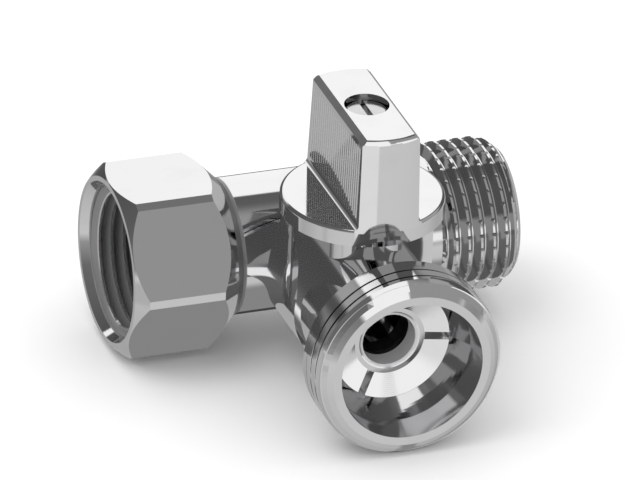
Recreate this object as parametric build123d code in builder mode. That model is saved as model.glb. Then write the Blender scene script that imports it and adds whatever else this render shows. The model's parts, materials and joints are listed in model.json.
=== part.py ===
from build123d import *
import os

# A washing machine tee valve in chromed brass, in millimetres.
# The run lies along X: a hexagonal female end on the left, a male thread on the right.
# The branch comes forward along -Y, holds a quarter-turn ball and ends in the hose thread.
# Z is up, and the knob stands on the branch. The valve is drawn open, with the knob in line with
# the branch. It is drawn round the crossing of the two axes, and moved at the end so that the origin
# is in the middle of the female thread, where the valve is joined to its supply.

# Pipe threads: fourteen turns to the inch, with their outer and root diameters
pitch = 25.4 / 14
half_inch_outer = 20.955
half_inch_root = 18.631
hose_outer = 26.441
crest_flat = pitch / 6
flank_width = pitch / 3

# Run pipe
pipe_diameter = 19.0
waterway_diameter = 12.6

# Hexagonal female end
hex_across_flats = 24.0
hex_corner_cut = 0.69
hex_mouth_x = -29.9
hex_mouth_radius = 11.9
hex_back_x = -17.4
hex_turned_radius = 13.55
socket_turns = 5
socket_lead_depth = 1.4
socket_lead_radius = 11.2
socket_depth = 12.6

# Male end
male_end_x = 27.1
male_turns = 6
male_lead = 1.0

# Housing of the ball, and the two bosses above it that carry the stem
stem_y = -18.4
housing_radius = 10.0
housing_front_y = -20.6
housing_top_z = 13.5
tower_radius = 9.95
stem_boss_radius = 5.7
pipe_blend = 1.0

# Neck and hose outlet
neck_radius = 9.5
neck_overlap = 1.0
outlet_back_y = -32.9
outlet_back_edge = 0.4
outlet_turns = 3
outlet_first_groove = 1.6
hose_groove_width = 0.5
hose_groove_floor = 0.1
hose_groove_depth = 0.4
outlet_lead_length = 1.5
outlet_lead_drop = 1.1
outlet_nose_length = 0.5
outlet_nose_drop = 0.8
outlet_face_y = -40.3
mouth_radius = 10.15
mouth_depth = 4.9
retainer_face_y = -32.2

# Ball and its two seats
ball_radius = 7.0
ball_bore_radius = 4.0
ball_slot_width = 2.9
ball_slot_floor = 5.0
seat_bore_radius = 4.1
seat_dish_end = 4.2
seat_flat_end = 8.5
chamber_radius = 7.3

# Clearances: of turning pieces, of still pieces, and of soft rings in their grooves
running_fit = 0.05
still_fit = 0.08
ring_fit = 0.02

# Slotted retainer that holds the seats in
retainer_bore_radius = 4.5
retainer_thread_radius = 7.6
retainer_head_radius = 8.3
retainer_head_fit = 0.03
retainer_head_height = 1.6
funnel_radius = 5.0
funnel_depth = 1.0
flare_radius = 4.85
flare_depth = 0.9
spanner_slots = 3
spanner_slot_width = 1.15
spanner_slot_floor = 0.5
retainer_ring_section = 1.0
retainer_groove_width = 1.3
retainer_groove_inset = 1.2

# Stem
stem_radius = 3.0
stem_flange_radius = 4.4
stem_flange_bottom = 7.5
stem_flange_height = 1.2
stem_flange_room = 0.3
thrust_washer_height = 0.5
tang_length = 6.4
tang_width = 2.6
tang_bottom = 5.2
stem_ring_section = 0.84
stem_groove_width = 1.1
stem_ring_heights = (10.6, 12.3)
stem_square = 4.2
stem_square_bottom = 15.0
stem_top = 22.0

# Knob
disc_radius = 11.3
disc_height = 2.5
disc_edge = 0.5
knob_gap = 0.3
grip_height = 13.4
grip_half_base = 4.35
grip_half_top = 4.14
grip_end_top = 10.8
grip_side_edge = 0.72
grip_end_round = 0.7
grip_root = 0.55
rib_count = 25
rib_pitch = 0.76
rib_groove_width = 0.6
rib_depth = 0.3
rib_band_bottom = 1.1
rib_band_top = 1.5
square_play = 0.1
stem_top_room = 0.3
screw_recess_radius = 3.1
screw_recess_depth = 3.0

# Knob screw
screw_radius = 1.5
screw_play = 0.2
screw_head_radius = 2.9
screw_head_height = 2.2
screw_head_edge = 0.35
screw_length = 10.0
screw_end_room = 1.0
screw_slot_width = 0.8
screw_slot_depth = 0.9

# Quarter-turn stop: a peg under the knob in a groove of the tower
quarter_turn = 90
stop_radius = 8.0
stop_angle = 135
stop_peg_diameter = 1.4
stop_peg_drop = 1.1
stop_room = 0.3

os.makedirs("parts", exist_ok=True)

# Radii and places that follow from the sizes above
half_outer = half_inch_outer / 2
half_root = half_inch_root / 2
hose_crest_radius = hose_outer / 2
hose_groove_radius = hose_crest_radius - hose_groove_depth
hose_groove_side = (hose_groove_width - hose_groove_floor) / 2
pipe_radius = pipe_diameter / 2
waterway_radius = waterway_diameter / 2
hex_front_x = hex_mouth_x + hex_turned_radius - hex_mouth_radius
hex_neck_x = hex_back_x + hex_turned_radius - pipe_radius
socket_floor_x = hex_mouth_x + socket_depth
male_thread_x = male_end_x - male_lead - male_turns * pitch + crest_flat
female_thread_x = hex_mouth_x + socket_lead_depth + flank_width
female_thread_length = (socket_turns - 1) * pitch + crest_flat
origin_x = female_thread_x + female_thread_length / 2

# Distances along the branch, counted forward from the run
ball_s = -stem_y
housing_front_s = -housing_front_y
outlet_back_s = -outlet_back_y
outlet_face_s = -outlet_face_y
mouth_floor_s = outlet_face_s - mouth_depth
retainer_face_s = -retainer_face_y
retainer_head_s = retainer_face_s - retainer_head_height
rear_shoulder_s = ball_s - seat_flat_end
retainer_back_s = ball_s + seat_flat_end
retainer_shank_radius = retainer_thread_radius - still_fit
funnel_s = retainer_face_s - funnel_depth
flare_s = funnel_s - flare_depth
bore_s = flare_s - flare_depth
ring_groove_s = retainer_back_s + retainer_groove_inset
retainer_ring_radius = retainer_thread_radius - ring_fit - retainer_ring_section / 2
retainer_groove_radius = retainer_ring_radius - retainer_ring_section / 2 - ring_fit

# Heights along the stem
stem_flange_top = stem_flange_bottom + stem_flange_height
thrust_washer_z = stem_flange_top + running_fit
flange_seat_z = thrust_washer_z + thrust_washer_height + running_fit
stem_bore_radius = stem_radius + running_fit
stem_ring_radius = stem_bore_radius - ring_fit - stem_ring_section / 2
stem_groove_radius = stem_ring_radius - stem_ring_section / 2 - ring_fit
disc_bottom_z = housing_top_z + knob_gap
disc_top_z = disc_bottom_z + disc_height
grip_base_z = disc_top_z - disc_edge
grip_top_z = disc_top_z + grip_height
screw_seat_z = grip_top_z - screw_recess_depth
screw_bottom_z = screw_seat_z - screw_length

# Planes of the turned profiles: along the part first, then out from its axis
run_plane = Plane.XY
branch_plane = Plane(origin=(0, 0, 0), x_dir=(0, -1, 0), z_dir=(0, 0, 1))
stem_plane = Plane(origin=(0, stem_y, 0), x_dir=(1, 0, 0), z_dir=(0, -1, 0))
branch_axis = Axis((0, 0, 0), (0, -1, 0))
stem_axis = Axis((0, stem_y, 0), (0, 0, 1))


def turns(start, count, root, crest):
    """Profile points of a row of thread turns, from one root to the next."""
    points = []
    for turn in range(count):
        foot = start + turn * pitch
        points += [
            (foot, root),
            (foot + flank_width, crest),
            (foot + flank_width + crest_flat, crest),
            (foot + 2 * flank_width + crest_flat, root),
        ]
    return points


def grooves(start, count):
    """Profile points of the narrow grooves between the wide turns of the hose thread."""
    points = []
    for turn in range(count):
        lip = start + turn * pitch
        points += [
            (lip, hose_crest_radius),
            (lip + hose_groove_side, hose_groove_radius),
            (lip + hose_groove_side + hose_groove_floor, hose_groove_radius),
            (lip + hose_groove_width, hose_crest_radius),
        ]
    return points


def grip_half_width(height):
    """Half the thickness of the grip, which thins towards its top."""
    share = (height - grip_base_z) / (grip_top_z - grip_base_z)
    return grip_half_base + share * (grip_half_top - grip_half_base)


# Body: one forging in chromed brass. First the pipe with its male thread
with BuildPart() as body:
    with BuildSketch(run_plane):
        with BuildLine():
            Polyline(
                (hex_neck_x, 0),
                (hex_neck_x, pipe_radius),
                (male_thread_x, pipe_radius),
                *turns(male_thread_x, male_turns, half_root, half_outer),
                (male_end_x - male_lead / 2, half_root),
                (male_end_x, half_root - male_lead / 2),
                (male_end_x, 0),
                close=True,
            )
        make_face()
    revolve(axis=Axis.X)

    # Housing round the ball, blended into the pipe
    with BuildSketch(Plane.XZ):
        Circle(housing_radius)
    extrude(amount=housing_front_s)
    blend_edges = body.edges().filter_by(
        lambda edge: edge.geom_type == GeomType.BSPLINE and abs(edge.center().Y) < pipe_radius
    )
    fillet(blend_edges, radius=pipe_blend)

    # Round boss up to the knob, cut square in front, and the smaller stem boss
    with BuildSketch(Plane.XY):
        with Locations((0, stem_y)):
            Circle(tower_radius)
        with Locations((0, housing_front_y)):
            Rectangle(
                4 * housing_radius,
                4 * housing_radius,
                align=(Align.CENTER, Align.MAX),
                mode=Mode.SUBTRACT,
            )
        with Locations((0, stem_y)):
            Circle(stem_boss_radius)
    extrude(amount=housing_top_z)

    # Neck and hose thread, turned round the branch
    with BuildSketch(branch_plane):
        with BuildLine():
            Polyline(
                (housing_front_s - neck_overlap, 0),
                (housing_front_s - neck_overlap, neck_radius),
                (outlet_back_s, neck_radius),
                (outlet_back_s, hose_crest_radius - outlet_back_edge),
                (outlet_back_s + outlet_back_edge, hose_crest_radius),
                *grooves(outlet_back_s + outlet_first_groove, outlet_turns),
                (outlet_face_s - outlet_lead_length, hose_crest_radius),
                (outlet_face_s - outlet_nose_length, hose_crest_radius - outlet_lead_drop),
                (outlet_face_s, hose_crest_radius - outlet_lead_drop - outlet_nose_drop),
                (outlet_face_s, 0),
                close=True,
            )
        make_face()
    revolve(axis=branch_axis)

    # Hexagonal female end, with its long corners cut
    with BuildSketch(Plane.YZ.offset(hex_mouth_x)) as hexagon:
        RegularPolygon(hex_across_flats / 2, 6, major_radius=False)
        chamfer(hexagon.vertices(), hex_corner_cut)
    extrude(amount=hex_neck_x - hex_mouth_x)

    # Turned cones that trim the hexagon at the mouth and at the back
    with BuildSketch(run_plane):
        with BuildLine():
            Polyline(
                (hex_mouth_x, hex_mouth_radius),
                (hex_front_x, hex_turned_radius),
                (hex_front_x, hex_across_flats),
                (hex_mouth_x, hex_across_flats),
                close=True,
            )
        make_face()
        with BuildLine():
            Polyline(
                (hex_back_x, hex_turned_radius),
                (hex_neck_x, pipe_radius),
                (hex_neck_x, hex_across_flats),
                (hex_back_x, hex_across_flats),
                close=True,
            )
        make_face()
    revolve(axis=Axis.X, mode=Mode.SUBTRACT)

    # Female socket with its inside thread, the waterway through the run and the branch to the ball
    with BuildSketch(run_plane):
        with BuildLine():
            Polyline(
                (hex_mouth_x, 0),
                (hex_mouth_x, socket_lead_radius),
                *turns(hex_mouth_x + socket_lead_depth, socket_turns, half_outer, half_root),
                (socket_floor_x, half_outer),
                (socket_floor_x, 0),
                close=True,
            )
        make_face()
    revolve(axis=Axis.X, mode=Mode.SUBTRACT)
    with BuildSketch(Plane.YZ.offset(socket_floor_x)):
        Circle(waterway_radius)
    extrude(amount=male_end_x - socket_floor_x, mode=Mode.SUBTRACT)

    # Branch bore, from the mouth of the outlet back to the run
    with BuildSketch(branch_plane):
        with BuildLine():
            Polyline(
                (0, 0),
                (0, seat_bore_radius),
                (rear_shoulder_s, seat_bore_radius),
                (rear_shoulder_s, chamber_radius),
                (retainer_back_s, chamber_radius),
                (retainer_back_s, retainer_thread_radius),
                (retainer_head_s, retainer_thread_radius),
                (retainer_head_s, retainer_head_radius),
                (retainer_face_s, retainer_head_radius),
                (mouth_floor_s, mouth_radius),
                (outlet_face_s, mouth_radius),
                (outlet_face_s, 0),
                close=True,
            )
        make_face()
    revolve(axis=branch_axis, mode=Mode.SUBTRACT)

    # Bore for the stem, with a seat for its flange
    with BuildSketch(stem_plane):
        with BuildLine():
            Polyline(
                (0, 0),
                (stem_flange_radius + stem_flange_room, 0),
                (stem_flange_radius + stem_flange_room, flange_seat_z),
                (stem_bore_radius, flange_seat_z),
                (stem_bore_radius, housing_top_z),
                (0, housing_top_z),
                close=True,
            )
        make_face()
    revolve(axis=stem_axis, mode=Mode.SUBTRACT)

    # Groove for the quarter-turn stop
    with BuildSketch(Plane.XY.offset(housing_top_z)):
        with Locations((0, stem_y)):
            SlotArc(
                CenterArc((0, 0), stop_radius, stop_angle - quarter_turn, quarter_turn),
                height=stop_peg_diameter + 2 * stop_room,
            )
    extrude(amount=-stop_peg_drop, mode=Mode.SUBTRACT)

# Ball: bored through, with a slot across the bore for the tang of the stem
with BuildPart() as ball:
    with Locations((0, stem_y, 0)):
        Sphere(ball_radius)
    with BuildSketch(Plane.XZ.offset(ball_s - ball_radius)):
        Circle(ball_bore_radius)
    extrude(amount=2 * ball_radius, mode=Mode.SUBTRACT)
    with BuildSketch(Plane.XY.offset(ball_slot_floor)):
        with Locations((0, stem_y)):
            Rectangle(2 * ball_radius, ball_slot_width)
    extrude(amount=ball_radius, mode=Mode.SUBTRACT)

# Seats: two turned rings, dished to the ball, that hold it front and back
with BuildPart() as rear_seat:
    with BuildSketch(branch_plane):
        with Locations((rear_shoulder_s + still_fit, seat_bore_radius)):
            Rectangle(
                seat_flat_end - seat_dish_end - still_fit,
                chamber_radius - still_fit - seat_bore_radius,
                align=(Align.MIN, Align.MIN),
            )
        with Locations((ball_s, 0)):
            Circle(ball_radius + running_fit, mode=Mode.SUBTRACT)
    revolve(axis=branch_axis)

with BuildPart() as front_seat:
    add(rear_seat.part)
    mirror(about=Plane.XZ.offset(ball_s), mode=Mode.REPLACE)

# Retainer: a slotted threaded ring with a funnel face
with BuildPart() as retainer:
    with BuildSketch(branch_plane):
        with BuildLine():
            Polyline(
                (retainer_back_s, retainer_bore_radius),
                (retainer_back_s, retainer_shank_radius),
                (ring_groove_s, retainer_shank_radius),
                (ring_groove_s, retainer_groove_radius),
                (ring_groove_s + retainer_groove_width, retainer_groove_radius),
                (ring_groove_s + retainer_groove_width, retainer_shank_radius),
                (retainer_head_s + still_fit, retainer_shank_radius),
                (retainer_head_s + still_fit, retainer_head_radius - retainer_head_fit),
                (retainer_face_s, retainer_head_radius - retainer_head_fit),
                (funnel_s, funnel_radius),
                (flare_s, flare_radius),
                (bore_s, retainer_bore_radius),
                close=True,
            )
        make_face()
    revolve(axis=branch_axis)
    with BuildSketch(Plane.XZ.offset(retainer_face_s)):
        with PolarLocations(0, spanner_slots):
            Rectangle(
                2 * retainer_head_radius,
                spanner_slot_width,
                align=(Align.MIN, Align.CENTER),
            )
    extrude(amount=-funnel_depth - spanner_slot_floor, mode=Mode.SUBTRACT)

with BuildPart() as retainer_o_ring:
    with BuildSketch(branch_plane):
        with Locations((ring_groove_s + retainer_groove_width / 2, retainer_ring_radius)):
            Circle(retainer_ring_section / 2)
    revolve(axis=branch_axis)

# Stem: a turned spindle with two ring grooves, a tang below and a square for the knob
with BuildPart() as stem:
    with BuildSketch(stem_plane):
        with BuildLine():
            Polyline(
                (0, stem_flange_bottom),
                (stem_flange_radius, stem_flange_bottom),
                (stem_flange_radius, stem_flange_top),
                (stem_radius, stem_flange_top),
                (stem_radius, stem_square_bottom),
                (0, stem_square_bottom),
                close=True,
            )
        make_face()
    revolve(axis=stem_axis)
    with BuildSketch(stem_plane):
        for height in stem_ring_heights:
            with Locations((stem_groove_radius, height)):
                Rectangle(
                    stem_radius,
                    stem_groove_width,
                    align=(Align.MIN, Align.CENTER),
                )
    revolve(axis=stem_axis, mode=Mode.SUBTRACT)
    with BuildSketch(Plane.XY.offset(stem_square_bottom)):
        with Locations((0, stem_y)):
            Rectangle(stem_square, stem_square)
    extrude(amount=stem_top - stem_square_bottom)
    with BuildSketch(Plane.XY.offset(tang_bottom)):
        with Locations((0, stem_y)):
            Rectangle(tang_length, tang_width)
    extrude(amount=stem_flange_bottom - tang_bottom)
    with Locations((0, stem_y, stem_top)):
        Hole(screw_radius + still_fit, depth=stem_top - screw_bottom_z + screw_end_room)

with BuildPart() as stem_thrust_washer:
    with BuildSketch(Plane.XY.offset(thrust_washer_z)):
        with Locations((0, stem_y)):
            Circle(stem_flange_radius)
            Circle(stem_bore_radius, mode=Mode.SUBTRACT)
    extrude(amount=thrust_washer_height)

stem_o_rings = []
for height in stem_ring_heights:
    with BuildPart() as stem_ring:
        with BuildSketch(stem_plane):
            with Locations((stem_ring_radius, height)):
                Circle(stem_ring_section / 2)
        revolve(axis=stem_axis)
    stem_o_rings.append(stem_ring)

# What is cut from each side of the knob's blank: all that lies above the disc and its rounded rim,
# as far in as the grip, which is bevelled along the top and curves out into the disc at its foot
with BuildPart() as knob_waste:
    with BuildSketch(stem_plane):
        with BuildLine():
            rim = RadiusArc(
                (disc_radius, grip_base_z),
                (disc_radius - disc_edge, disc_top_z),
                -disc_edge,
            )
            Polyline(
                rim @ 1,
                (0, disc_top_z),
                (0, 2 * grip_top_z),
                (2 * disc_radius, 2 * grip_top_z),
                (2 * disc_radius, grip_base_z),
                rim @ 0,
            )
        make_face()
    revolve(axis=stem_axis)
    with BuildSketch(Plane.XZ.offset(ball_s)):
        with BuildLine():
            foot_top = disc_top_z + grip_root
            side_line = Polyline(
                (grip_half_top - grip_side_edge, grip_top_z),
                (grip_half_width(grip_top_z - grip_side_edge), grip_top_z - grip_side_edge),
                (grip_half_width(foot_top), foot_top),
            )
            foot = RadiusArc(
                side_line @ 1,
                (grip_half_width(foot_top) + grip_root, disc_top_z),
                -grip_root,
            )
            Polyline(
                foot @ 1,
                (grip_half_width(foot_top) + grip_root, disc_bottom_z),
                (3 * disc_radius, disc_bottom_z),
                (3 * disc_radius, 3 * grip_top_z),
                (grip_half_top - grip_side_edge, 3 * grip_top_z),
                side_line @ 0,
            )
        make_face()
        mirror(about=Plane.YZ)
    extrude(amount=3 * disc_radius, both=True, mode=Mode.INTERSECT)

# Knob: a turned blank, cut away on both sides to leave a disc and a flat grip across it
with BuildPart() as knob:
    with BuildSketch(stem_plane):
        with BuildLine():
            outline = Polyline(
                (0, grip_top_z),
                (0, disc_bottom_z),
                (disc_radius, disc_bottom_z),
                (disc_radius, grip_base_z),
                (grip_end_top, grip_top_z - grip_end_round),
            )
            rounded = RadiusArc(
                outline @ 1,
                (grip_end_top - grip_end_round, grip_top_z),
                -grip_end_round,
            )
            Line(rounded @ 1, outline @ 0)
        make_face()
    revolve(axis=stem_axis)
    add(knob_waste.part, mode=Mode.SUBTRACT)

    # Fine upright grooves that leave the gripping ribs, on both sides
    for side in (1, -1):
        foot_z = disc_top_z + rib_band_bottom
        slope = (side * (grip_half_top - grip_half_base), 0, grip_top_z - grip_base_z)
        rib_plane = Plane(
            origin=(side * grip_half_width(foot_z), stem_y, foot_z),
            x_dir=(0, side, 0),
            z_dir=slope,
        )
        with BuildSketch(rib_plane):
            with GridLocations(rib_pitch, 0, rib_count, 1):
                Polygon(
                    (-rib_groove_width / 2, 0),
                    (0, rib_depth),
                    (rib_groove_width / 2, 0),
                    align=None,
                )
        extrude(amount=grip_height - rib_band_bottom - rib_band_top, mode=Mode.SUBTRACT)

    # Underside: a round hollow and a square socket for the stem, then the hole for the screw
    with BuildSketch(Plane.XY.offset(disc_bottom_z)):
        with Locations((0, stem_y)):
            Circle(stem_radius + square_play)
    extrude(amount=stem_square_bottom - disc_bottom_z + square_play, mode=Mode.SUBTRACT)
    with BuildSketch(Plane.XY.offset(disc_bottom_z)):
        with Locations((0, stem_y)):
            Rectangle(stem_square + 2 * square_play, stem_square + 2 * square_play)
    extrude(amount=stem_top + stem_top_room - disc_bottom_z, mode=Mode.SUBTRACT)
    with Locations((0, stem_y, grip_top_z)):
        CounterBoreHole(screw_radius + screw_play, screw_recess_radius, screw_recess_depth,
                        depth=grip_top_z - stem_top)

    # Stop peg
    with BuildSketch(Plane.XY.offset(disc_bottom_z)):
        with Locations((0, stem_y)):
            with PolarLocations(stop_radius, 1, start_angle=stop_angle):
                Circle(stop_peg_diameter / 2)
    extrude(amount=-stop_peg_drop)

# Knob screw, with a round head and one driving slot
with BuildPart() as knob_screw:
    with BuildSketch(Plane.XY.offset(screw_bottom_z)):
        with Locations((0, stem_y)):
            Circle(screw_radius)
    extrude(amount=screw_length)
    with BuildSketch(Plane.XY.offset(screw_seat_z)):
        with Locations((0, stem_y)):
            Circle(screw_head_radius)
    extrude(amount=screw_head_height)
    fillet(knob_screw.edges().group_by(Axis.Z)[-1], screw_head_edge)
    with BuildSketch(Plane.XY.offset(screw_seat_z + screw_head_height)):
        with Locations((0, stem_y)):
            Rectangle(screw_slot_width, 3 * screw_head_radius)
    extrude(amount=-screw_slot_depth, mode=Mode.SUBTRACT)

pieces = {
    "body": body,
    "ball": ball,
    "rear_seat": rear_seat,
    "front_seat": front_seat,
    "retainer": retainer,
    "retainer_o_ring": retainer_o_ring,
    "stem": stem,
    "stem_thrust_washer": stem_thrust_washer,
    "stem_o_ring_lower": stem_o_rings[0],
    "stem_o_ring_upper": stem_o_rings[1],
    "knob": knob,
    "knob_screw": knob_screw,
}
for name, piece in pieces.items():
    placed = Pos(-origin_x, 0, 0) * piece.part
    placed.label = name
    export_step(placed, f"parts/{name}.step")
    print(name, len(placed.solids()), round(placed.volume, 2))
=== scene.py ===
# %% [markdown]
# # A washing machine valve, dressed for its picture
# The valve is a tee of chromed brass. Water runs through it from left to right, and a quarter turn of
# the knob lets some of it out of the thread in front, where the hose is screwed on.
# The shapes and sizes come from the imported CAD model, which is loaded here as a fixed frame. This script
# adds what the CAD model leaves plain: real helical threads, the finishes, the light and the camera.

# %% The frame, and the box of the CAD model
import json
import math
import bmesh
import bpy
from mathutils import Matrix, Vector


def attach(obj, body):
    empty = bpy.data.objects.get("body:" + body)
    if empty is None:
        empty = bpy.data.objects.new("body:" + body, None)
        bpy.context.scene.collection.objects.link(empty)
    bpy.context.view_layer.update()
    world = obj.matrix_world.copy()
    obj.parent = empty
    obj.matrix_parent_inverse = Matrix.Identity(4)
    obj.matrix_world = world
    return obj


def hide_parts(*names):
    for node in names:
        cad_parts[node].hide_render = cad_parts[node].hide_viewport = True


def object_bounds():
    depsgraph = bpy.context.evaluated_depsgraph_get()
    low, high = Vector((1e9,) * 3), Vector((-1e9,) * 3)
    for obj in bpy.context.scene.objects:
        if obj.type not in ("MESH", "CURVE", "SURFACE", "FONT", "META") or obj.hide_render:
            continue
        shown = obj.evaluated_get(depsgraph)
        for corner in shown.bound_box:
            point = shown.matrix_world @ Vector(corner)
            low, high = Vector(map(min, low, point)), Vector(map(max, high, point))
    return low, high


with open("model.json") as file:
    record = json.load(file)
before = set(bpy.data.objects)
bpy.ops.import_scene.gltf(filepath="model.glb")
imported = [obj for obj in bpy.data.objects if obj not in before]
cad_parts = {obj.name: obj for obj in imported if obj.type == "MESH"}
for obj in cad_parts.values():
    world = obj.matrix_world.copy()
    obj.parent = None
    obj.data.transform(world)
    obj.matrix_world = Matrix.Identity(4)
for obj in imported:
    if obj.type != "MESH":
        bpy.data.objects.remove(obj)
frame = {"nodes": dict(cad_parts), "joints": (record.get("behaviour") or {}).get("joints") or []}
cad_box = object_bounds()
MM = 0.001
branch_x = frame["joints"][0]["pos_m"][0]

# %% [markdown]
# ## The camera
# The photograph looks down on the valve from the front left, from so far away that parallel edges stay
# parallel. A long lens at three metres does the same. The three directions below are the picture's own
# right, its up and the way back to the camera, measured on the edges of the hexagon and the knob. The
# crossing is where the axes of run and branch meet, in pixels from the picture's top left corner.

# %% Camera
picture_right = Vector((0.9413, -0.3355, 0.0399)).normalized()
picture_up = Vector((0.1272, 0.4619, 0.8778))
towards_camera = picture_right.cross(picture_up).normalized()
picture_up = towards_camera.cross(picture_right)
picture_width, picture_height = 640, 480
crossing_u, crossing_v = 312.6, 234.1
pixels_per_mm = 7.302
sensor_width = 36
distance = 3.0

middle = picture_right * (picture_width / 2 - crossing_u) - picture_up * (picture_height / 2 - crossing_v)
middle = Vector((branch_x, 0, 0)) + middle / pixels_per_mm * MM
camera_data = bpy.data.cameras.new("camera")
camera_data.sensor_width = sensor_width
camera_data.lens = sensor_width * distance / (picture_width / pixels_per_mm * MM)
camera_data.clip_start = 0.01
camera = bpy.data.objects.new("camera", camera_data)
turn = Matrix((picture_right, picture_up, towards_camera)).transposed().to_4x4()
camera.matrix_world = Matrix.Translation(middle + towards_camera * distance) @ turn
bpy.context.scene.collection.objects.link(camera)
bpy.context.scene.camera = camera
bpy.context.scene.view_settings.view_transform = "Standard"
print("lens", round(camera_data.lens), "mm, looking at", [round(v, 4) for v in middle])

# %% [markdown]
# ## Shader maths as plain sums
# Every finish below is worked out with nodes. Setting up dozens of Math nodes by hand hides the idea, so
# one small class wraps a socket: a sum of two wires adds the node that makes it, and one method makes
# any other node.

# %% A wire between nodes
class Wire:
    """A socket of a node tree. Sums and products of wires add their Math nodes."""

    def __init__(self, tree, socket=None):
        self.tree = tree
        self.socket = socket

    def node(self, kind, settings=None, sockets=None, out=0):
        made = self.tree.nodes.new(kind)
        for name, value in (settings or {}).items():
            if name == "stops":
                ramp = made.color_ramp.elements
                ramp.remove(ramp[1])
                for place, grey in value:
                    ramp.new(place).color = (grey, grey, grey, 1)
                ramp.remove(ramp[0])
            else:
                setattr(made, name, value)
        for name, value in (sockets or {}).items():
            if isinstance(value, Wire):
                self.tree.links.new(value.socket, made.inputs[name])
            else:
                made.inputs[name].default_value = value
        return Wire(self.tree, made.outputs[out] if made.outputs else None)

    def pick(self, name):
        return Wire(self.tree, self.socket.node.outputs[name])

    def math(self, operation, first, second):
        return self.node("ShaderNodeMath", {"operation": operation}, {0: first, 1: second})

    def __add__(self, other):
        return self.math("ADD", self, other)

    def __sub__(self, other):
        return self.math("SUBTRACT", self, other)

    def __rsub__(self, other):
        return self.math("SUBTRACT", other, self)

    def __mul__(self, other):
        return self.math("MULTIPLY", self, other)

    def __truediv__(self, other):
        return self.math("DIVIDE", self, other)

    __radd__ = __add__
    __rmul__ = __mul__


def rise(wire, low, high):
    """0 below low, 1 above high, and a smooth step between them."""
    return wire.node("ShaderNodeMapRange", {"interpolation_type": "SMOOTHSTEP"},
                     {"Value": wire, "From Min": low, "From Max": high})


def between(wire, low, high, soft):
    """1 from low to high and 0 outside, with a smooth step of twice soft at both."""
    return rise(wire, low - soft, low + soft) * rise(wire, high + soft, high - soft)


def blend(wire, share, first, second):
    """A colour that goes from the first to the second as share goes from 0 to 1."""
    return wire.node("ShaderNodeMix", {"data_type": "RGBA"},
                     {"Factor": share, 6: first, 7: second}, out=2)


print("shader helpers ready")

# %% [markdown]
# ## What chrome sees
# Chrome has next to no colour of its own: its picture is the studio. Real lamps and cards round the valve
# would do, but they would get in the way of other cameras. Here the world itself is the studio for
# reflections. An angle goes round the valve's run: 0 degrees is level behind it, 90 is above, 180 is level
# in front and 270 is below. The side goes from -1 at the left to 1 at the right. A ramp gives the dark
# ceiling and the grey ground, and cards are laid over it: bright ones for windows and strip lights, grey
# ones to give the flats of the hexagon their tone. Where they lie and how bright they are was found from
# the reflections in the photograph. The camera sees plain white, and matt surfaces get one even soft light.
# Where the valve mirrors itself, the photograph is darker than any room would make it. The light path
# counts reflections, and where the world asks, the count is one higher than the number of meetings. So rays
# that have met the valve twice get a dimmed studio with a few cards of its own.
# This is a picture maker's trick and not how light works. It lives in the world, and no finish needs it.

# %% Studio
world = bpy.data.worlds.new("studio")
bpy.context.scene.world = world
world.use_nodes = True
world.cycles.sampling_method = "NONE"
world.node_tree.nodes.clear()
studio = Wire(world.node_tree)
ray = studio.node("ShaderNodeLightPath")
direction = studio.node("ShaderNodeSeparateXYZ", None, {0: studio.node("ShaderNodeTexCoord")})
side = direction
turn_angle = studio.node("ShaderNodeMath", {"operation": "ARCTAN2"},
                         {0: direction.pick("Z"), 1: direction.pick("Y")}) / (2 * math.pi)
turn_angle = studio.node("ShaderNodeMath", {"operation": "FRACT"}, {0: turn_angle})
surroundings = [
    (0, 0.08), (20, 0.08), (60, 0.1), (150, 0.15), (186, 0.3), (200, 0.6), (260, 0.5), (300, 0.4),
    (335, 0.4), (348, 0.1), (360, 0.08),
]
cards = [
    # name, first and last angle in degrees, left and right side, brightness, softness in degrees
    ("window behind", -9, 64, 0.25, 0.38, 1.0, 2),
    ("window sill", 346, 369, 0.25, 0.38, 1.0, 2),
    ("strip light", 24, 36, -0.24, 0.30, 0.95, 2),
    ("strip light end", 12, 34, -0.46, -0.24, 0.35, 4),
    ("left ground", 306, 350, -0.95, -0.42, 0.45, 5),
    ("left glow", -9, 12, -0.66, -0.48, 0.2, 4),
    ("left glow below", 350, 369, -0.66, -0.48, 0.2, 4),
    ("right glow", -9, 26, 0.40, 0.60, 0.3, 5),
    ("right glow below", 345, 369, 0.40, 0.60, 0.35, 5),
    ("front card", 98, 200, -0.35, 0.25, 0.95, 2),
    ("grey card", 94, 172, 0.25, 1.10, 0.3, 14),
    ("grey card above", 45, 100, 0.56, 1.10, 0.35, 8),
    ("low strip", 160, 191, 0.38, 0.82, 0.95, 3),
    ("low strip end", 185, 205, 0.52, 0.82, 0.95, 3),
    ("level strip", 174, 190, 0.24, 0.40, 0.9, 4),
    ("grey table", 226, 302, 0.27, 0.36, 0.25, 8),
    ("table edge", 300, 344, 0.27, 0.36, 0.05, 4),
    ("left wall", 208, 245, -1.10, -0.82, 0.45, 6),
    ("right wall", 325, 372, 0.60, 1.10, 0.45, 8),
]
first_only = ("front fill", 190, 228, -0.42, 0.0, 0.75, 6)
cards_from_second = [
    ("bright front strip", 191, 212, -0.40, 0.12, 0.95, 2),
    ("right side above", 40, 100, 0.84, 1.10, 0.3, 6),
    ("left side below", 245, 320, -0.95, -0.52, 0.35, 6),
]
from_third = ("front table", 222, 252, -0.70, 0.85, 0.55, 3)
side_soft = 0.02
kept_share, self_tone = 0.22, 0.09
after_two, after_three = (2.4, 2.6), (3.4, 3.6)


def lay_card(over, name, first, last, left, right, brightness, soft):
    """The studio with one more card in it."""
    inside = between(turn_angle * 360, first, last, soft) * between(side, left, right, side_soft)
    return blend(studio, inside, over, (brightness, brightness, brightness, 1))


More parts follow.
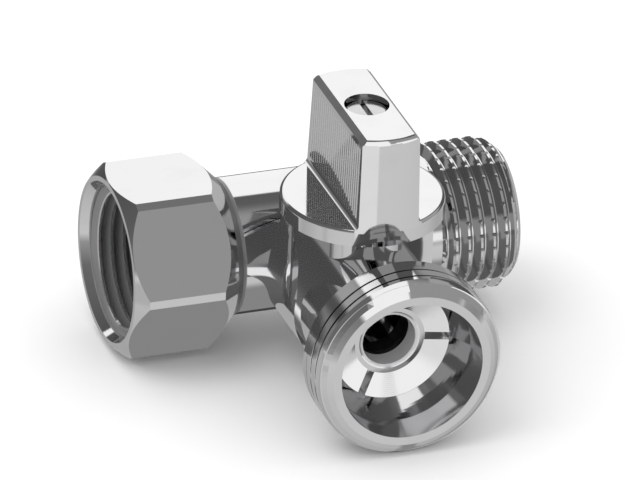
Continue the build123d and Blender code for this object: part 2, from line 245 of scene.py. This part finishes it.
stops = [(degrees / 360, grey) for degrees, grey in surroundings]
seen = studio.node("ShaderNodeValToRGB", {"stops": stops}, {0: turn_angle})
for card in cards:
    seen = lay_card(seen, *card)
squared = studio.node("ShaderNodeVectorMath", {"operation": "MULTIPLY"}, {0: seen, 1: seen})
dimmed = blend(studio, kept_share, (self_tone, self_tone, self_tone, 1), squared)
for card in cards_from_second:
    dimmed = lay_card(dimmed, *card)
depth = ray.pick("Ray Depth")
dimmed = blend(studio, rise(depth, *after_three), dimmed, lay_card(dimmed, *from_third))
seen = blend(studio, rise(depth, *after_two), lay_card(seen, *first_only), dimmed)
mirrored = studio.math("MAXIMUM", ray.pick("Is Glossy Ray"), ray.pick("Is Transmission Ray"))
look = blend(studio, mirrored, (1, 1, 1, 1), seen)
look = blend(studio, ray.pick("Is Camera Ray"), look, (1, 1, 1, 1))
glow = studio.node("ShaderNodeBackground", None, {"Color": look, "Strength": 1})
studio.node("ShaderNodeOutputWorld", None, {"Surface": glow})
print("studio with", len(cards) + len(cards_from_second) + 2, "cards")

# %% [markdown]
# ## The table and one soft lamp
# The photograph shows plain white round the valve. A pale floor keeps a soft shadow, so that the valve
# stands on something, and one broad lamp above the left shoulder gives that shadow its side. Neither
# shows in the chrome.

# %% Floor and lamp
floor_half_width = 4
floor_mesh = bpy.data.meshes.new("floor")
shape = bmesh.new()
bmesh.ops.create_grid(shape, x_segments=1, y_segments=1, size=floor_half_width)
bmesh.ops.translate(shape, vec=(0, 0, cad_box[0][2]), verts=shape.verts)
shape.to_mesh(floor_mesh)
shape.free()
floor = bpy.data.objects.new("floor", floor_mesh)
bpy.context.scene.collection.objects.link(floor)
floor.visible_glossy = False
floor_finish = bpy.data.materials.new("pale_floor")
floor_finish.use_nodes = True
floor_shader = floor_finish.node_tree.nodes["Principled BSDF"]
floor_shader.inputs["Base Color"].default_value = (0.97, 0.97, 0.97, 1)
floor_shader.inputs["Roughness"].default_value = 1
floor_shader.inputs["Specular IOR Level"].default_value = 0
floor_mesh.materials.append(floor_finish)

lamp_way = Vector((-0.35, -0.1, 0.6))
lamp_data = bpy.data.lights.new("soft_lamp", "AREA")
lamp_data.shape = "DISK"
lamp_data.size = 0.5
lamp_data.energy = 1.2
lamp = bpy.data.objects.new("soft_lamp", lamp_data)
lamp.visible_glossy = False
lamp.location = middle + lamp_way
lamp.rotation_euler = (middle - lamp.location).to_track_quat("-Z", "Y").to_euler()
bpy.context.scene.collection.objects.link(lamp)
print("floor at", round(cad_box[0][2] / MM, 2), "mm")

# %% [markdown]
# ## A helical thread from one spin
# A thread is the outline of one tooth, carried round the axis while it moves along. The spin operator does
# just that when it is given a step along the axis. The tooth is closed and its foot is buried a little in
# the cylinder below it, so each thread is a solid ribbon laid round a core. Where the thread starts and
# ends, its points are held under a cone, as the lathe cuts a lead there.

# %% Threads
pitch = 25.4 / 14 * MM
x_axis = Vector((1, 0, 0))
hose_axis = Vector((0, -1, 0))
notch_slope = math.tan(math.radians(30))


def turned_to(axis):
    """The matrix that lays the X axis on another axis, through the middle of the branch."""
    return Matrix.Translation((branch_x, 0, 0)) @ x_axis.rotation_difference(axis).to_matrix().to_4x4()


def thread(name, axis, tooth, span, steps, envelope, ends, notches=0, notch=0):
    """A solid thread along an axis from its tooth's outline, as (place, radius) points."""
    shape = bmesh.new()
    corners = [shape.verts.new((span[0] + place, radius, 0)) for place, radius in tooth]
    for first, second in zip(corners, corners[1:] + corners[:1]):
        shape.edges.new((first, second))
    count = round((span[1] - span[0]) / pitch * steps)
    bmesh.ops.spin(shape, geom=shape.verts[:] + shape.edges[:], cent=(0, 0, 0), axis=x_axis,
                   dvec=x_axis * pitch / steps, angle=2 * math.pi * count / steps, steps=count)
    crest = max(radius for place, radius in tooth)
    for vert in shape.verts:
        radius = math.hypot(vert.co.y, vert.co.z)
        angle = math.atan2(vert.co.z, vert.co.y) / (2 * math.pi)
        if notches and radius > crest - notch and round(angle * steps) % (steps // notches) == 0:
            across = (vert.co.x - span[0]) / pitch - angle
            across = (across - round(across)) * pitch
            if across:
                vert.co.x += math.copysign(notch * notch_slope, across)
            vert.co.yz = vert.co.yz * (crest - notch) / radius
            radius = crest - notch
        vert.co.yz = vert.co.yz * envelope(vert.co.x, radius) / radius
    for place, way in zip(ends, (1, -1)):
        geometry = shape.verts[:] + shape.edges[:] + shape.faces[:]
        bmesh.ops.bisect_plane(shape, geom=geometry, plane_co=(place, 0, 0), plane_no=x_axis * way,
                               dist=1e-8, clear_inner=True)
    bmesh.ops.holes_fill(shape, edges=[edge for edge in shape.edges if edge.is_boundary], sides=0)
    bmesh.ops.recalc_face_normals(shape, faces=shape.faces)
    bmesh.ops.transform(shape, matrix=turned_to(axis), verts=shape.verts)
    mesh = bpy.data.meshes.new(name)
    shape.to_mesh(mesh)
    shape.free()
    mesh.shade_smooth()
    mesh.set_sharp_from_angle(angle=math.radians(28))
    made = bpy.data.objects.new(name, mesh)
    bpy.context.scene.collection.objects.link(made)
    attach(made, "fixed")
    print(name, "has", len(mesh.polygons), "faces")
    return made


def leads(points, inside=False):
    """Holds a radius under the line through (place, radius) points, or over it for a thread inside."""
    def held(place, radius):
        limit = points[0][1] if place < points[0][0] else points[-1][1]
        for (x0, r0), (x1, r1) in zip(points, points[1:]):
            if x0 <= place <= x1:
                limit = r0 + (r1 - r0) * (place - x0) / (x1 - x0)
        return max(radius, limit) if inside else min(radius, limit)
    return held


print("pitch", round(pitch / MM, 4), "mm")

# %% [markdown]
# ## The body with cores for its threads
# The CAD body carries level rings where the real one carries threads. A copy of it keeps everything else.
# Its rings are deleted between two places, and the open edges are drawn to the foot of the thread and
# bridged, which leaves the core that the lathe starts from. The CAD mesh has exact normals along its
# blends. They are kept in an attribute while the copy is edited, and new faces get the normals of a turned
# part, straight out from the axis.

# %% Body
cad_body = frame["nodes"]["body"]
body_mesh = cad_body.data.copy()
kept_normals = body_mesh.attributes.new("kept_normal", "FLOAT_VECTOR", "CORNER")
for item, corner in zip(kept_normals.data, body_mesh.corner_normals):
    item.vector = corner.vector
shape = bmesh.new()
shape.from_mesh(body_mesh)
bmesh.ops.remove_doubles(shape, verts=shape.verts, dist=0.0002 * MM)
layer = shape.loops.layers.float_vector["kept_normal"]
slack = 0.003 * MM


def core(axis, low, high, radii, steps):
    """Deletes the rings from low to high along an axis and closes the gap through (place, radius) steps."""
    back = turned_to(axis).inverted()

    def place(vert):
        local = back @ vert.co
        return local.x, math.hypot(local.y, local.z)

    def ringed(vert):
        x, radius = place(vert)
        return low - slack < x < high + slack and radii[0] - slack < radius < radii[1] + slack

    rings = [face for face in shape.faces if all(ringed(vert) for vert in face.verts)]
    bmesh.ops.delete(shape, geom=rings, context="FACES")
    edges = [edge for edge in shape.edges if edge.is_boundary]
    front = [edge for edge in edges if abs(place(edge.verts[0])[0] - low) < slack]
    rear = [edge for edge in edges if edge not in front]
    made = []
    for x, radius in steps:
        drawn = bmesh.ops.extrude_edge_only(shape, edges=front)["geom"]
        front = [item for item in drawn if isinstance(item, bmesh.types.BMEdge)]
        made += [item for item in drawn if isinstance(item, bmesh.types.BMFace)]
        for vert in {vert for edge in front for vert in edge.verts}:
            local = back @ vert.co
            local.yz = local.yz * radius / math.hypot(local.y, local.z)
            vert.co = turned_to(axis) @ Vector((x, local.y, local.z))
    made += bmesh.ops.bridge_loops(shape, edges=front + rear)["faces"]
    bmesh.ops.recalc_face_normals(shape, faces=shape.faces)
    middle_of = Vector((branch_x, 0, 0))
    for face in made:
        for loop in face.loops:
            out = loop.vert.co - middle_of
            out = (out - axis * out.dot(axis)).normalized()
            straight = face.normal.dot(out)
            loop[layer] = face.normal if abs(straight) < 0.8 else math.copysign(1, straight) * out
    print("core of", len(made), "faces for", len(rings), "ring faces")


male_root, male_crest = 9.3155 * MM, 10.4775 * MM
hose_root, hose_crest = 12.8205 * MM, 13.2205 * MM
hose_nose = 12.1205 * MM
male_low, male_high = 15.517 * MM, 26.6 * MM
hose_low, hose_high = 34.5 * MM, 39.8 * MM
hose_lead = 39.164 * MM
female_low, female_high = -28.5 * MM, -19.73 * MM
core(x_axis, male_low, male_high, (male_root, male_crest), [(male_low, male_root)])
core(hose_axis, hose_low, hose_high, (hose_nose, hose_crest),
     [(hose_low, hose_root), (hose_lead, hose_root)])
core(x_axis, female_low, female_high, (male_root, male_crest), [])
shape.to_mesh(body_mesh)
shape.free()
body_mesh.attributes.remove(body_mesh.attributes["custom_normal"])
normals = [item.vector.copy() for item in body_mesh.attributes["kept_normal"].data]
body_mesh.attributes.remove(body_mesh.attributes["kept_normal"])
body_mesh.normals_split_custom_set(normals)
body = bpy.data.objects.new("body_with_thread_cores", body_mesh)
bpy.context.scene.collection.objects.link(body)
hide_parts("body")
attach(body, "fixed")
print("body has", len(body_mesh.polygons), "faces")

# %% [markdown]
# ## The three threads
# The pipe threads have flat crests a sixth of the pitch wide and flanks that are cut at a slant. The male
# one is knurled: a toothed wheel pressed notches into its crests, so that hemp stays put when the joint
# is sealed. The hose thread in front is cut shallow, which leaves wide turns between narrow grooves.

# %% Threads in their places
foot = 0.3 * MM
half_crest, half_middle, half_root = pitch / 12, pitch * 3 / 12, pitch * 5.5 / 12
half_way = (male_root + male_crest) / 2
knurl_notches, knurl_depth = 32, 0.32 * MM
male_tooth = [
    (-half_root, male_root - foot), (-half_root, male_root), (-half_middle, half_way),
    (-half_crest, male_crest), (half_crest, male_crest), (half_middle, half_way),
    (half_root, male_root), (half_root, male_root - foot),
]
male_thread = thread(
    "male_thread", x_axis, male_tooth, (14.6 * MM, 27.2 * MM), 256,
    notches=knurl_notches, notch=knurl_depth, ends=(15.4 * MM, 26.5 * MM),
    envelope=leads([(15.5 * MM, male_root - foot / 3), (16.3 * MM, male_crest), (25.2 * MM, male_crest),
                    (26.4 * MM, male_root), (26.5 * MM, male_root - foot / 3)]),
)
female_tooth = [
    (-half_root, male_crest + foot), (-half_root, male_crest), (-half_middle, half_way),
    (-half_crest, male_root), (half_crest, male_root), (half_middle, half_way),
    (half_root, male_crest), (half_root, male_crest + foot),
]
female_thread = thread(
    "female_thread", x_axis, female_tooth, (-29.4 * MM, -19.2 * MM), 128,
    ends=(female_low, -19.75 * MM),
    envelope=leads([(female_low, male_crest), (-28.15 * MM, male_root), (-20.9 * MM, male_root),
                    (-19.8 * MM, male_crest + foot / 3)], inside=True),
)
groove_width, draft = 0.38 * MM, 0.05 * MM
land = (pitch - groove_width) / 2
hose_tooth = [
    (-land - draft, hose_root - foot), (-land - draft, hose_root), (-land, hose_crest),
    (0, hose_crest), (land, hose_crest), (land + draft, hose_root), (land + draft, hose_root - foot),
]
hose_thread = thread(
    "hose_thread", hose_axis, hose_tooth, (32.6 * MM, 41 * MM), 192,
    ends=(hose_low, 39.25 * MM),
    envelope=leads([(38.8 * MM, hose_crest), (hose_lead, hose_root), (39.3 * MM, hose_root - foot / 2)]),
)

# %% [markdown]
# ## The lip of the retainer
# Inside its funnel the retainer has a thin lip, and behind it a narrower bore. One outline spun round the
# branch makes both. A full turn is merged at its seam, so the ring is closed.

# %% Retainer lip
lip_front, lip_step, lip_back = 31.15, 30.95, 28.1
lip_outer, lip_edge, lip_bore = 5.1, 4.35, 3.8
lip_outline = [
    (lip_front, lip_outer), (lip_front, lip_edge), (lip_step, lip_bore), (lip_back, lip_bore),
    (lip_back, lip_outer),
]
shape = bmesh.new()
corners = [shape.verts.new((place * MM, radius * MM, 0)) for place, radius in lip_outline]
for first, second in zip(corners, corners[1:] + corners[:1]):
    shape.edges.new((first, second))
bmesh.ops.spin(shape, geom=shape.verts[:] + shape.edges[:], cent=(0, 0, 0), axis=x_axis,
               dvec=(0, 0, 0), angle=2 * math.pi, steps=128, use_merge=True)
bmesh.ops.recalc_face_normals(shape, faces=shape.faces)
bmesh.ops.transform(shape, matrix=turned_to(hose_axis), verts=shape.verts)
lip_mesh = bpy.data.meshes.new("retainer_lip")
shape.to_mesh(lip_mesh)
shape.free()
lip_mesh.shade_smooth()
lip_mesh.set_sharp_from_angle(angle=math.radians(12))
lip = bpy.data.objects.new("retainer_lip", lip_mesh)
bpy.context.scene.collection.objects.link(lip)
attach(lip, "fixed")
print("lip has", len(lip_mesh.polygons), "faces")

# %% [markdown]
# ## Finishes
# Chrome plate is as smooth as the metal under it, so its detail is in how it bends reflections: faint
# waves of the buffed forging, and fine rings wherever a lathe finished the part. Fingers and water leave
# patches that are only a little duller. All of it is far smaller than the eye resolves as shape, so it goes
# into roughness and a bump of some thousandths of a millimetre.
# Two recesses are darker by far, the grooves between the knob's ribs and the female thread, where shade
# falls.
# The photograph shows them dark or grey, so a mask paints that shade in: a dark coat that is only partly
# metallic.

# %% Finish helpers
finishes = {}
# Colour, extra roughness and lost metal of the painted shade in recesses.
painted_shade_tone, painted_shade_roughness, painted_shade_metal_loss = 0.3, 0.25, 0.6


def finish(name, **constants):
    """A new material. Gives its tree as a wire, its coordinates in metres and its main shader."""
    material = bpy.data.materials.new(name)
    material.use_nodes = True
    finishes[name] = material
    tree = Wire(material.node_tree)
    shader = material.node_tree.nodes["Principled BSDF"]
    for socket, value in constants.items():
        shader.inputs[socket.replace("_", " ")].default_value = value
    coordinates = tree.node("ShaderNodeTexCoord").pick("Object")
    return tree, coordinates, shader


def feed(tree, shader, **wires):
    """Links wires to the sockets of the main shader."""
    for socket, wire in wires.items():
        tree.tree.links.new(wire.socket, shader.inputs[socket.replace("_", " ")])


def noise(at, per_mm, detail=2):
    """Noise from 0 to 1 with a given number of grains per millimetre."""
    return at.node("ShaderNodeTexNoise", None, {"Vector": at, "Scale": per_mm / MM, "Detail": detail})


def in_mm(at, centre):
    """The way from a centre to a spot, in millimetres."""
    local = at.node("ShaderNodeVectorMath", {"operation": "SUBTRACT"}, {0: at, 1: centre})
    return at.node("ShaderNodeVectorMath", {"operation": "SCALE"}, {0: local, "Scale": 1 / MM})


def from_axis(at, axis):
    """Place along an axis of the part and distance from it, in millimetres."""
    centre = (branch_x, frame["joints"][0]["pos_m"][1], 0) if axis == "Z" else (branch_x, 0, 0)
    local = in_mm(at, centre)
    sides = at.node("ShaderNodeSeparateXYZ", None, {0: local})
    across = {"X": (0, 1, 1), "Y": (1, 0, 1), "Z": (1, 1, 0)}[axis]
    flat_part = at.node("ShaderNodeVectorMath", {"operation": "MULTIPLY"}, {0: local, 1: across})
    radius = at.node("ShaderNodeVectorMath", {"operation": "LENGTH"}, {0: flat_part}, out="Value")
    return sides.pick(axis), radius


def lathe_rings(at, axis, spacing):
    """Height of tool marks: rings on turned cylinders and on turned faces alike."""
    along, radius = from_axis(at, axis)
    wander = noise(at, 0.9, 1)
    turns = (along + radius * 0.93) / spacing + wander * 0.35
    return at.node("ShaderNodeMath", {"operation": "SINE"}, {0: turns * (2 * math.pi)})


def bump(tree, height, micrometres):
    return tree.node("ShaderNodeBump", None,
                     {"Height": height, "Strength": 1, "Distance": micrometres * 1e-6})


def chrome(name, tone, rough, waves, rings, painted_shade=None):
    """Chrome plate with waves of so many micrometres, lathe rings where rings lists them as axis,
    spacing, depth and mask, and painted shade, a dark and partly metallic coat, where the shade mask is 1."""
    tree, at, shader = finish(name, Metallic=1)
    buffed = noise(at, 0.13, 2)
    grains = noise(at, 2.6, 3)
    touched = rise(noise(at, 0.22, 3), 0.5, 0.72)
    height = buffed * waves + grains * 0.12
    for axis, spacing, depth, mask in rings:
        marks = lathe_rings(at, axis, spacing) * depth
        height = height + (marks * mask(at) if mask else marks)
    shade = blend(tree, touched * 0.6 + grains * 0.2, (tone, tone, tone * 1.004, 1),
                  (tone * 0.955, tone * 0.96, tone * 0.972, 1))
    softness = touched * 0.035 + grains * 0.02 + rough
    # Painted shade: where the mask is 1, a dark coat stands in for the shade in a recess.
    if painted_shade:
        share = painted_shade(at)
        painted_shade_colour = (tone * painted_shade_tone, tone * painted_shade_tone, tone * (painted_shade_tone + 0.005), 1)
        shade = blend(tree, share, shade, painted_shade_colour)
        softness = softness + share * painted_shade_roughness
        feed(tree, shader, Metallic=1 - share * painted_shade_metal_loss)
    feed(tree, shader, Base_Color=shade, Roughness=softness, Normal=bump(tree, height, 1))
    return tree, at, shader


def in_female_end(along):
    """From the back of the female end's socket to its mouth."""
    return rise(along, -12.8, -13.0)


def beyond(axis, low, high):
    """A mask that goes from 0 to 1 between two places on an axis, in millimetres."""
    def mask(at):
        along, radius = from_axis(at, axis)
        return rise(along, low, high)
    return mask


def inside_female_end(at):
    """Everything that was turned in the female end, its mouth included."""
    along, radius = from_axis(at, "X")
    return in_female_end(along) * rise(radius, 12.0, 11.9)


def painted_shade_in_female_thread(at):
    """Painted shade in the threaded hole, which is grey in the photograph; the crests get less of it, so
    they stay a little brighter.
    """
    along, radius = from_axis(at, "X")
    crests = rise(radius, 9.62, 9.42) * rise(along, -19.5, -19.9)
    return in_female_end(along) * rise(radius, 10.62, 10.55) * (1 - crests * 0.85)


def painted_shade_in_rib_grooves(at):
    """Painted shade in the grooves between the ribs of the grip, by how far a spot lies inside the grip's
    flank.
    """
    foot_height, top_height = 15.8, 29.7
    half_at_foot, half_at_top = 4.35, 4.14
    front, back = -27.95, -8.85
    ribs_from, ribs_to = 17.3, 28.4
    offset = at.node("ShaderNodeSeparateXYZ", None, {0: in_mm(at, (branch_x, 0, 0))})
    across = at.node("ShaderNodeMath", {"operation": "ABSOLUTE"}, {0: offset})
    height = offset.pick("Z")
    slope = (half_at_foot - half_at_top) / (top_height - foot_height)
    flank_at = half_at_foot - (height - foot_height) * slope
    grooved = rise(flank_at - across, 0.05, 0.22) * rise(across, 3.5, 3.6)
    return grooved * between(offset.pick("Y"), front, back, 0.05) * between(height, ribs_from, ribs_to, 0.1)


print("finish helpers ready")

# %% [markdown]
# ## The finish of each part
# The names are those of the CAD record. The body, knob and ball are chromed. The retainer is plated brass
# that was turned last, so it is a little softer, and the bore in its lip is pale and matt, because the
# photograph shows a light wall there. The stem is bare brass, since nobody sees it.

# %% Finishes
body_marks = [
    ("X", 0.18, 0.35, inside_female_end),
    ("X", 0.18, 0.35, beyond("X", 15.3, 15.5)),
    ("Y", 0.20, 0.35, beyond("Y", -32.7, -32.9)),
]
# The threaded hole of the female end gets painted shade.
chrome("chromed_body", 0.90, 0.045, 12, body_marks, painted_shade=painted_shade_in_female_thread)
# The grooves between the knob's ribs get painted shade.
chrome("chromed_knob", 0.91, 0.045, 10, [], painted_shade=painted_shade_in_rib_grooves)
chrome("chromed_ball", 0.88, 0.04, 3, [("Z", 0.15, 0.1, None)])
tree, at, shader = chrome("plated_retainer", 0.90, 0.08, 4, [("Y", 0.16, 0.5, None)])
along, radius = from_axis(at, "Y")
feed(tree, shader, Metallic=rise(radius, 3.95, 4.4))
chrome("steel_screw", 0.74, 0.13, 4, [("Z", 0.14, 0.6, None)])

tree, at, shader = finish("bare_brass", Metallic=1)
tarnish = rise(noise(at, 0.35, 3), 0.42, 0.7)
turned = lathe_rings(at, "Z", 0.16)
feed(tree, shader, Base_Color=blend(tree, tarnish, (0.83, 0.61, 0.31, 1), (0.62, 0.42, 0.19, 1)),
     Roughness=tarnish * 0.14 + 0.19, Normal=bump(tree, turned * 0.8 + noise(at, 1.5) * 2, 1))

tree, at, shader = finish("black_seat", Metallic=0)
speckle = noise(at, 7, 3)
feed(tree, shader, Base_Color=blend(tree, speckle, (0.008, 0.008, 0.009, 1), (0.03, 0.03, 0.031, 1)),
     Roughness=speckle * 0.12 + 0.24, Normal=bump(tree, lathe_rings(at, "Y", 0.22) * 1.2 + speckle * 2, 1))

tree, at, shader = finish("rubber_ring", Metallic=0)
bloom = rise(noise(at, 0.8, 4), 0.45, 0.8)
feed(tree, shader, Base_Color=blend(tree, bloom, (0.012, 0.012, 0.012, 1), (0.045, 0.045, 0.043, 1)),
     Roughness=bloom * 0.2 + 0.42, Normal=bump(tree, noise(at, 9, 3), 6))

tree, at, shader = finish("white_washer", Metallic=0)
rubbed = rise(noise(at, 0.5, 3), 0.5, 0.75)
feed(tree, shader, Base_Color=blend(tree, rubbed, (0.86, 0.86, 0.84, 1), (0.72, 0.71, 0.67, 1)),
     Roughness=rubbed * 0.15 + 0.4, Normal=bump(tree, lathe_rings(at, "Z", 0.2) * 1.5 + noise(at, 6), 1))

for made in (body, male_thread, female_thread, hose_thread):
    made.data.materials.clear()
    made.data.materials.append(finishes["chromed_body"])
lip_mesh.materials.append(finishes["plated_retainer"])
for name, part in frame["nodes"].items():
    for holder in part.material_slots:
        wanted = holder.material.name.split(".")[0]
        holder.link = "OBJECT"
        holder.material = finishes[wanted]
print("finishes", sorted(finishes))
